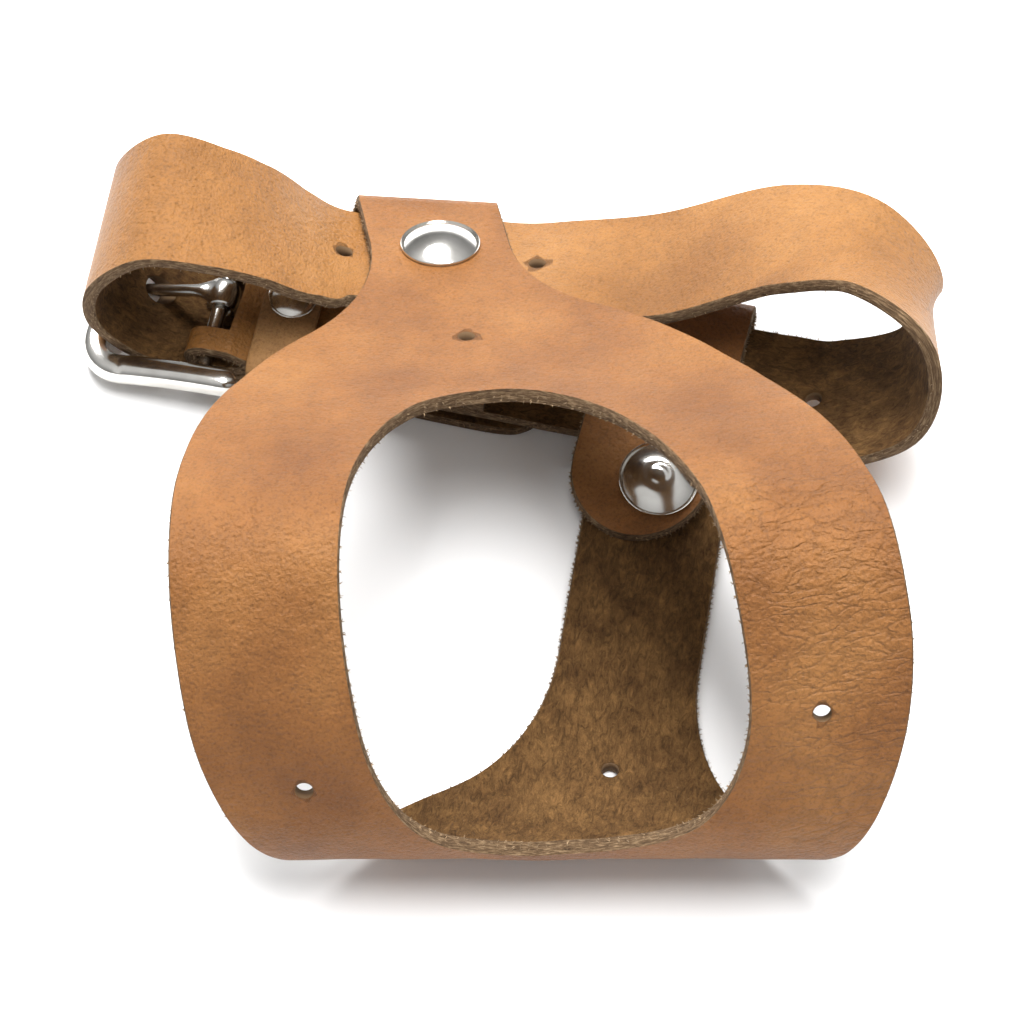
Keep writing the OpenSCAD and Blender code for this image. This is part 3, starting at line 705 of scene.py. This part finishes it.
def leather_sheet(name, widths, cells, place, along, materials):
    """A leather sheet from rows of [inner, outer] half widths; place(row, u, off) gives a point."""
    bm = bmesh.new()
    layer = bm.verts.layers.float_vector.new("pattern")
    rings = []
    for i, (w0, w1) in enumerate(widths):
        pair = []
        for side in (-1, 1):
            ring = []
            for u, k in section(w0, w1, cells):
                vert = bm.verts.new(to_frame(place(i, side * u, k * LEATHER / 2)))
                vert[layer] = Vector((side * u, along[i], k * LEATHER / 2))
                ring.append(vert)
            pair.append(ring)
        rings.append(pair)
    count = len(rings[0][0])
    for i in range(len(rings) - 1):
        shut = widths[i][0] == 0 and widths[i + 1][0] == 0
        for side in (0, 1):
            a, b = rings[i][side], rings[i + 1][side]
            for j in range(count):
                n = (j + 1) % count
                if shut and j >= 2 * cells + 4:
                    continue
                face = bm.faces.new((a[j], a[n], b[n], b[j]))
                face.material_index = 0 if j < cells else 1 if cells + 4 <= j < 2 * cells + 4 else 2
    for i in (0, -1):
        for side in (0, 1):
            face = bm.faces.new(rings[i][side])
            face.material_index = 2
    bmesh.ops.remove_doubles(bm, verts=bm.verts, dist=2e-6)
    bmesh.ops.dissolve_degenerate(bm, edges=bm.edges, dist=1e-7)
    return finish_mesh(name, bm, materials)


def pin_mesh(bm, spot, axis, r, length, segments=28):
    turn = Vector(axis).to_track_quat("Z", "Y").to_matrix().to_4x4()
    move = Matrix.Translation(to_frame(spot)) @ turn
    bmesh.ops.create_cone(
        bm, cap_ends=True, segments=segments, radius1=r * MM, radius2=r * MM, depth=length * MM, matrix=move
    )


def punch(obj, pins):
    """Cuts round holes; pins lists (spot, axis, radius, length)."""
    bm = bmesh.new()
    for pin in pins:
        pin_mesh(bm, *pin)
    cutter = finish_mesh(obj.name + "_cutter", bm, [EDGE])
    change = obj.modifiers.new("holes", "BOOLEAN")
    change.operation = "DIFFERENCE"
    change.solver = "EXACT"
    change.material_mode = "TRANSFER"
    change.object = cutter
    graph = bpy.context.evaluated_depsgraph_get()
    mesh = bpy.data.meshes.new_from_object(obj.evaluated_get(graph))
    obj.modifiers.clear()
    obj.data = mesh
    bpy.data.objects.remove(cutter)


def ripple(x, y, size, amount):
    return amount * noise.noise(Vector((x / size, y / size, 3.7)))


def palm_place(i, u, off):
    v = PALM_ROWS[i] + lean(PALM_ROWS[i]) * u
    calm = ramp(abs(v - 8), 62, 46)
    return lay(u, v, off + calm * (ripple(u, v, 9, 0.22) + ripple(v, u, 3.1, 0.06)))


def make_palm_loop():
    widths = [[0 if inner(v) < 0.05 else inner(v), outer(v)] for v in PALM_ROWS]
    obj = leather_sheet("palm_loop_leather", widths, 26, palm_place, PALM_ROWS, [PALM_GRAIN, FLESH, EDGE])
    pins = []
    for u, v in PUNCHES:
        spot = lay(u, v, 0)
        axis = Vector(lay(u, v, 1)) - Vector(spot)
        pins.append((spot, axis, PUNCH_R, 5))
    punch(obj, pins)
    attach(obj, "leather")
    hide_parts("palm_loop")
    return obj


TAB_PRESS = 0.16
TAB_PRESS_FULL = 12
TAB_PRESS_GONE = 16
TAB_MIDDLE = min(range(len(STATIONS)), key=lambda i: (STRAP_AXES[i][0] - Vector(FRONT_SPOT)).length)


def strap_place(i, u, off):
    """The strap is pressed down a little where it lies under the tab."""
    away = abs(STRAP_RUN[i] - STRAP_RUN[TAB_MIDDLE])
    pressed = TAB_PRESS * (1 - ramp(away, TAB_PRESS_FULL, TAB_PRESS_GONE))
    return on_strap(i, u, off - pressed)


def run_point(x, y, z):
    """A point of the buckle's local frame in the design frame."""
    c, s = math.cos(STRAP_YAW), math.sin(STRAP_YAW)
    return (BAR[0] + x * c - y * s, BAR[1] + x * s + y * c, BAR[2] + z)


def make_wrist_strap():
    widths = [
        [SLOT_HALF if SLOT_FROM <= i <= SLOT_TO else 0, s[5]] for i, s in enumerate(STATIONS)
    ]
    obj = leather_sheet("wrist_strap_leather", widths, 10, strap_place, STRAP_RUN, [STRAP_GRAIN, FLESH, EDGE])
    up = (0, -sind(FRONT_H), cosd(FRONT_H))
    pins = []
    for side in (-1, 1):
        t = side * HOLE_SPACING
        spot = (
            FRONT_SPOT[0] + t * cosd(FRONT_LINE),
            FRONT_SPOT[1] + t * sind(FRONT_LINE) * cosd(FRONT_H),
            FRONT_SPOT[2] + t * sind(FRONT_LINE) * sind(FRONT_H),
        )
        pins.append((spot, up, PUNCH_R, 5))
    back = on_neck(BACK_PUNCH_T)
    pins.append(((back[0], back[1], back[2] + 1), (0, 0, 1), PUNCH_R, 8))
    root, tip = run_point(PRONG_ROOT[0], 0, PRONG_ROOT[1]), run_point(PRONG_TIP[0], 0, PRONG_TIP[1])
    middle = [(a + b) / 2 for a, b in zip(root, tip)]
    axis = Vector(tip) - Vector(root)
    pins.append((middle, axis, PRONG_HOLE_R, axis.length))
    punch(obj, pins)
    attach(obj, "leather")
    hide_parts("wrist_strap")
    return obj


def swept(name, path, section_at, materials, closed=False, sharp=0.9, pattern=False):
    """Sweeps a ring of (side, up) offsets along path, a list of (point, side axis, up axis)."""
    bm = bmesh.new()
    layer = bm.verts.layers.float_vector.new("pattern") if pattern else None
    rings = []
    length = 0.0
    for i, (point, side, up) in enumerate(path):
        if i:
            length += (Vector(point) - Vector(path[i - 1][0])).length
        ring = []
        for a, b in section_at(i):
            vert = bm.verts.new(to_frame(Vector(point) + side * a + up * b))
            if layer:
                vert[layer] = Vector((a, length, b))
            ring.append(vert)
        rings.append(ring)
    pairs = len(rings) if closed else len(rings) - 1
    for i in range(pairs):
        a, b = rings[i], rings[(i + 1) % len(rings)]
        for j in range(len(a)):
            n = (j + 1) % len(a)
            bm.faces.new((a[j], a[n], b[n], b[j]))
    if not closed:
        bm.faces.new(rings[0])
        bm.faces.new(rings[-1])
    return finish_mesh(name, bm, materials, sharp)


def oval_ring(w, h, power, count=28):
    ring = []
    for k in range(count):
        a = 2 * math.pi * k / count
        c, s = math.cos(a), math.sin(a)
        ring.append((w * math.copysign(abs(c) ** (2 / power), c), h * math.copysign(abs(s) ** (2 / power), s)))
    return ring


def make_keeper():
    half = STRAP_HALF_W + KEEPER_SIDE_GAP + KEEPER_LEATHER / 2
    low = TAIL_AT_KEEPER - LEATHER / 2 - KEEPER_UNDER_GAP - KEEPER_LEATHER / 2
    high = RUN_AT_KEEPER + LAYER + LEATHER / 2 + KEEPER_TOP_GAP + KEEPER_LEATHER / 2
    r = KEEPER_CORNER
    outline = []
    for cy, cz, start in (
        (half - r, high - r, 0),
        (-half + r, high - r, 90),
        (-half + r, low + r, 180),
        (half - r, low + r, 270),
    ):
        for a in range(0, 91, 10):
            outline.append((cy + r * cosd(start + a), cz + r * sind(start + a), start + a))
    path = []
    for y, z, a in outline:
        point = run_point(KEEPER_T, y, z - BAR[2])
        side = Vector(run_point(1, 0, 0)) - Vector(run_point(0, 0, 0))
        across = Vector(run_point(0, 1, 0)) - Vector(run_point(0, 0, 0))
        path.append((point, side, across * cosd(a) + Vector((0, 0, sind(a)))))
    ring = oval_ring(KEEPER_W / 2, KEEPER_LEATHER / 2, 5, 36)
    obj = swept("keeper_leather", path, lambda i: ring, [KEEPER_GRAIN], True, 0.9, True)
    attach(obj, "leather")
    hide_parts("keeper")
    return obj


def lathe(name, profile, spot, turn, body, cad_node, segments=72):
    """Turns (radius, height) points round the local Z axis, placed at spot with a turn matrix."""
    bm = bmesh.new()
    rings = []
    for r, z in profile:
        ring = []
        for k in range(segments):
            a = 2 * math.pi * k / segments
            p = turn @ Vector((r * math.cos(a), r * math.sin(a), z))
            ring.append(bm.verts.new(to_frame(Vector(spot) + p)))
        rings.append(ring)
    for a, b in zip(rings, rings[1:]):
        for k in range(segments):
            n = (k + 1) % segments
            bm.faces.new((a[k], a[n], b[n], b[k]))
    bm.faces.new(rings[0])
    bm.faces.new(rings[-1])
    bmesh.ops.remove_doubles(bm, verts=bm.verts, dist=1e-6)
    obj = finish_mesh(name, bm, [NICKEL], 0.7)
    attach(obj, body)
    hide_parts(cad_node)
    return obj


def dome_profile(r, h, dimple):
    """A low domed cap with a rolled rim; a dimpled one has a small button in its middle."""
    ball = (r * r + h * h) / (2 * h)
    profile = [(0.01, 0.04), (r - 0.35, 0.04), (r - 0.1, 0.05)]
    rim = RIM
    for a in range(-60, 61, 15):
        profile.append((r - rim + rim * cosd(a), rim + 0.02 + rim * sind(a)))
    for k in range(18, 0, -1):
        x = (r - rim) * k / 18
        z = math.sqrt(ball * ball - x * x) - (ball - h)
        if dimple:
            z -= dimple * math.exp(-((x - DIMPLE_R) / DIMPLE_W) ** 2)
        profile.append((x, z))
    profile.append((0.01, h))
    return profile


FRONT_TURN = Matrix.Rotation(math.radians(FRONT_H), 3, "X")
BACK_TURN = Matrix.Rotation(math.radians(BACK_TILT), 3, "X")
FLIP = Matrix.Rotation(math.pi, 3, "X")
FLAT = Matrix.Identity(3)


def stack_point(spot, turn, height):
    return Vector(spot) + turn @ Vector((0, 0, height))


def make_rivets():
    front = stack_point(FRONT_SPOT, FRONT_TURN, FRONT_STACK / 2)
    lathe("front_rivet_dome", dome_profile(BIG_R, BIG_H, 0), front, FRONT_TURN, "leather", "front_rivet_cap")
    under = stack_point(FRONT_SPOT, FRONT_TURN, -FRONT_STACK / 2)
    base = dome_profile(BIG_R, BIG_H, 0)
    lathe("front_rivet_under", base, under, FRONT_TURN @ FLIP, "leather", "front_rivet_base")
    back = stack_point(BACK_SPOT, BACK_TURN, BACK_STACK / 2)
    lathe("back_rivet_dome", dome_profile(BIG_R, BIG_H, DIMPLE), back, BACK_TURN, "leather", "back_rivet_cap")
    under = stack_point(BACK_SPOT, BACK_TURN, -BACK_STACK / 2)
    low = dome_profile(BIG_R, LOW_H, 0)
    lathe("back_rivet_under", low, under, BACK_TURN @ FLIP, "leather", "back_rivet_base")
    keeper_top = RUN_AT_KEEPER + LAYER + LEATHER / 2 + KEEPER_TOP_GAP + KEEPER_LEATHER
    flap_top = RUN_AT_FLAP + LAYER + LEATHER / 2 + 0.02
    small = dome_profile(SMALL_R, SMALL_H, 0)
    spot = run_point(KEEPER_T, 0, keeper_top - BAR[2])
    lathe("keeper_rivet_dome", small, spot, FLAT, "leather", "keeper_rivet_cap")
    spot = run_point(FLAP_RIVET_T, 0, flap_top - BAR[2])
    lathe("flap_rivet_dome", small, spot, FLAT, "leather", "flap_rivet_cap")


def local_axes():
    origin = Vector(run_point(0, 0, 0))
    return (Vector(run_point(1, 0, 0)) - origin, Vector(run_point(0, 1, 0)) - origin, Vector((0, 0, 1)))


def make_frame():
    along, across, up = local_axes()
    mid = RAIL_GAP + RAIL_W / 2
    corner = FRAME_CORNER
    left = FRAME_LEFT + RAIL_W / 2
    plan = []
    for k in range(25):
        plan.append((FRAME_RIGHT - 0.2 + (left + corner - FRAME_RIGHT + 0.2) * k / 24, -mid, 0))
    for a in range(0, 91, 9):
        plan.append((left + corner - corner * sind(a), -mid + corner - corner * cosd(a), a))
    for k in range(1, 12):
        plan.append((left, -mid + corner + (2 * mid - 2 * corner) * k / 12, 90))
    for a in range(90, -1, -9):
        plan.append((left + corner - corner * sind(a), mid - corner + corner * cosd(a), 180 - a))
    for k in range(1, 25):
        plan.append((left + corner + (FRAME_RIGHT - 0.2 - left - corner) * k / 24, mid, 180))
    path = []
    for x, y, turn in plan:
        z = ARCH_TOP - ARCH_R + math.sqrt(ARCH_R**2 - (x - ARCH_X) ** 2) - FRAME_H / 2
        side = across * -cosd(turn) + along * -sind(turn)
        path.append((run_point(x, y, z), side, up))
    last = len(path) - 1

    def ring(i):
        end = min(i, last - i)
        shrink = (0.62, 0.88, 0.97)[end] if end < 3 else 1.0
        return oval_ring(RAIL_W / 2 * shrink, FRAME_H / 2 * shrink, 2.7, 32)

    obj = swept("buckle_frame_cast", path, ring, [NICKEL], False, 0.9)
    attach(obj, "buckle")
    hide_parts("buckle_frame")


def make_bar():
    along, _across, up = local_axes()
    path = [(run_point(0, y, 0), along, up) for y in (-RAIL_GAP - 1.6, -RAIL_GAP, 0, RAIL_GAP, RAIL_GAP + 1.6)]
    obj = swept("buckle_bar_wire", path, lambda i: oval_ring(BAR_R, BAR_R, 2, 32), [NICKEL], False, 0.9)
    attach(obj, "buckle")
    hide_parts("buckle_bar")


def make_prong():
    """A flat curl round the bar that runs out into a round wire with a blunt tip."""
    along, across, up = local_axes()
    root = Vector((PRONG_ROOT[0], 0, PRONG_ROOT[1]))
    tip = Vector((PRONG_TIP[0], 0, PRONG_TIP[1]))
    direction = (tip - root).normalized()
    normal = Vector((direction.z, 0, -direction.x))
    path, sizes = [], []
    curl = BAR_R + CURL_GAP + CURL_HALF
    start = math.degrees(math.atan2(PRONG_ROOT[1], PRONG_ROOT[0]))
    for a in range(-300, 1, 15):
        x, z = curl * cosd(start + a), curl * sind(start + a)
        out = along * cosd(start + a) + up * sind(start + a)
        path.append((run_point(x, 0, z), across, out))
        sizes.append((CURL_W / 2, 0.48))
    steps = 18
    for k in range(1, steps + 1):
        share = k / steps
        p = root.lerp(tip + direction * 0.6, share)
        path.append((run_point(p.x, 0, p.z), across, along * normal.x + up * normal.z))
        wide = PRONG_R + (CURL_W / 2 - PRONG_R) * max(0, 1 - share * 6) ** 2
        blunt = 1 if k < steps - 1 else (0.86, 0.45)[k - steps + 1]
        sizes.append((wide * blunt, (0.55 + (PRONG_R - 0.55) * min(1, share * 5)) * blunt))
    obj = swept("buckle_prong_wire", path, lambda i: oval_ring(*sizes[i], 2.2, 24), [NICKEL], False, 1.2)
    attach(obj, "prong")
    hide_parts("buckle_prong")


# ---- Fraying ------------------------------------------------------------------------------
def fibre_tuft(bm, layer, root, out, rng, size, where):
    """One short three-sided fibre that bends as it leaves the edge."""
    length = size * rng.uniform(0.5, 1.3)
    thick = rng.uniform(0.035, 0.07)
    sway = Vector((rng.uniform(-1, 1), rng.uniform(-1, 1), rng.uniform(-1, 1))) * 0.9
    first = (out + sway * 0.7).normalized()
    second = (first + sway).normalized()
    side = first.orthogonal().normalized()
    other = first.cross(side)
    rings = []
    for point, width in ((root, thick), (root + first * length * 0.5, thick * 0.8)):
        ring = []
        for k in range(3):
            turn = side * cosd(120 * k) + other * sind(120 * k)
            vert = bm.verts.new(to_frame(point + turn * width))
            vert[layer] = where
            ring.append(vert)
        rings.append(ring)
    end = bm.verts.new(to_frame(root + first * length * 0.5 + second * length * 0.5))
    end[layer] = where
    for k in range(3):
        n = (k + 1) % 3
        bm.faces.new((rings[0][k], rings[0][n], rings[1][n], rings[1][k]))
        bm.faces.new((rings[1][k], rings[1][n], end))
    bm.faces.new(rings[0][::-1])


def make_fibres(name, rows, widths, place, count, size, seed):
    rng = random.Random(seed)
    bm = bmesh.new()
    layer = bm.verts.layers.float_vector.new("pattern")
    for _ in range(count):
        i = rng.randrange(2, len(rows) - 2)
        w0, w1 = widths[i]
        side = rng.choice((-1, 1))
        open_edge = w0 > 0 and rng.random() < 0.6
        u = side * (w0 if open_edge else w1)
        reach = side * (-1 if open_edge else 1)
        off = rng.uniform(-0.9, 0.35) * LEATHER / 2
        root = Vector(place(i, u - reach * 0.05, off))
        out = (Vector(place(i, u + reach, off)) - root).normalized()
        flesh = (Vector(place(i, u, -1)) - Vector(place(i, u, 0))).normalized()
        fibre_tuft(bm, layer, root, out + flesh * 0.5, rng, size, Vector((u, rows[i], off)))
    return finish_mesh(name, bm, [FIBRE], 3.1)


def fibre_material():
    m, nodes, links = new_material("leather_fibre")
    shader = nodes["Principled BSDF"]
    flat = pattern_input(nodes, links, (1, 1, 1))
    tone = noise_node(nodes, links, flat, 2.0, 2, 0.5)
    links.new(
        colour_ramp(nodes, links, tone, [(0.35, (0.13, 0.08, 0.04)), (0.65, (0.4, 0.27, 0.15))]),
        shader.inputs["Base Color"],
    )
    shader.inputs["Roughness"].default_value = 0.9
    return m


FIBRE = fibre_material()
PALM_FIBRES = 5200
PALM_FIBRE_LEN = 0.42
STRAP_FIBRES = 2200
STRAP_FIBRE_LEN = 0.34


def make_fraying():
    widths = [[0 if inner(v) < 0.05 else inner(v), outer(v)] for v in PALM_ROWS]
    obj = make_fibres("palm_loop_fray", PALM_ROWS, widths, palm_place, PALM_FIBRES, PALM_FIBRE_LEN, 11)
    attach(obj, "leather")
    widths = [[0, s[5]] for s in STATIONS]
    obj = make_fibres("wrist_strap_fray", STRAP_RUN, widths, strap_place, STRAP_FIBRES, STRAP_FIBRE_LEN, 12)
    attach(obj, "leather")


# ---- Build ------------------------------------------------------------------------------------
make_palm_loop()
make_wrist_strap()
make_keeper()
make_rivets()
make_frame()
make_bar()
make_prong()
make_fraying()

for node_name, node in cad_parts.items():
    if node_name.endswith(("_socket", "_post")):
        node.data.materials.clear()
        node.data.materials.append(NICKEL)


# ---- Stage, lights and camera ---------------------------------------------------------------------
def make_stage():
    bm = bmesh.new()
    bmesh.ops.create_grid(bm, x_segments=1, y_segments=1, size=3)
    mesh = bpy.data.meshes.new("floor")
    bm.to_mesh(mesh)
    bm.free()
    floor = bpy.data.objects.new("floor", mesh)
    m, nodes, _links = new_material("floor_paper")
    nodes["Principled BSDF"].inputs["Base Color"].default_value = (0.93, 0.93, 0.93, 1)
    nodes["Principled BSDF"].inputs["Roughness"].default_value = 0.9
    nodes["Principled BSDF"].inputs["Specular IOR Level"].default_value = 0.1
    mesh.materials.append(m)
    bpy.context.scene.collection.objects.link(floor)


def area_light(name, place, target, size, power):
    data = bpy.data.lights.new(name, "AREA")
    data.shape = "DISK"
    data.size = size
    data.energy = power
    light = bpy.data.objects.new(name, data)
    light.location = place
    light.rotation_euler = (Vector(target) - Vector(place)).to_track_quat("-Z", "Y").to_euler()
    bpy.context.scene.collection.objects.link(light)


def make_lights():
    world = bpy.data.worlds.new("studio")
    world.use_nodes = True
    nodes, links = world.node_tree.nodes, world.node_tree.links
    coord = nodes.new("ShaderNodeTexCoord")
    parts = nodes.new("ShaderNodeSeparateXYZ")
    links.new(coord.outputs["Generated"], parts.inputs["Vector"])
    greys = [(0.0, 0.8), (0.12, 0.3), (0.45, 0.55), (0.8, 1)]
    sky = colour_ramp(nodes, links, parts.outputs["Z"], [(at, (g,) * 3) for at, g in greys])
    links.new(sky, nodes["Background"].inputs["Color"])
    nodes["Background"].inputs["Strength"].default_value = 0.7
    bpy.context.scene.world = world
    area_light("key", (-0.1, 0.5, 0.75), (0, 0, 0), 0.5, 15.0)
    area_light("top", (0.1, 0.0, 0.9), (0, 0, 0), 0.5, 9.0)


CAMERA_ELEVATION = 62.53
CAMERA_TARGET = (0.18, 33.37, 20)
CAMERA_DISTANCE = 0.42
CAMERA_LENS = 131.4


def make_camera():
    """Looks at CAMERA_TARGET, in the design frame, from above its front edge."""
    elevation = math.radians(CAMERA_ELEVATION)
    target = to_frame(CAMERA_TARGET)
    back = Vector((0, -math.cos(elevation), math.sin(elevation)))
    data = bpy.data.cameras.new("camera")
    data.lens = CAMERA_LENS
    data.sensor_width = 36
    camera = bpy.data.objects.new("camera", data)
    camera.location = target + back * CAMERA_DISTANCE
    camera.rotation_euler = (-back).to_track_quat("-Z", "Y").to_euler()
    bpy.context.scene.collection.objects.link(camera)
    bpy.context.scene.camera = camera


make_stage()
make_lights()
make_camera()
bpy.context.scene.view_settings.view_transform = "Standard"
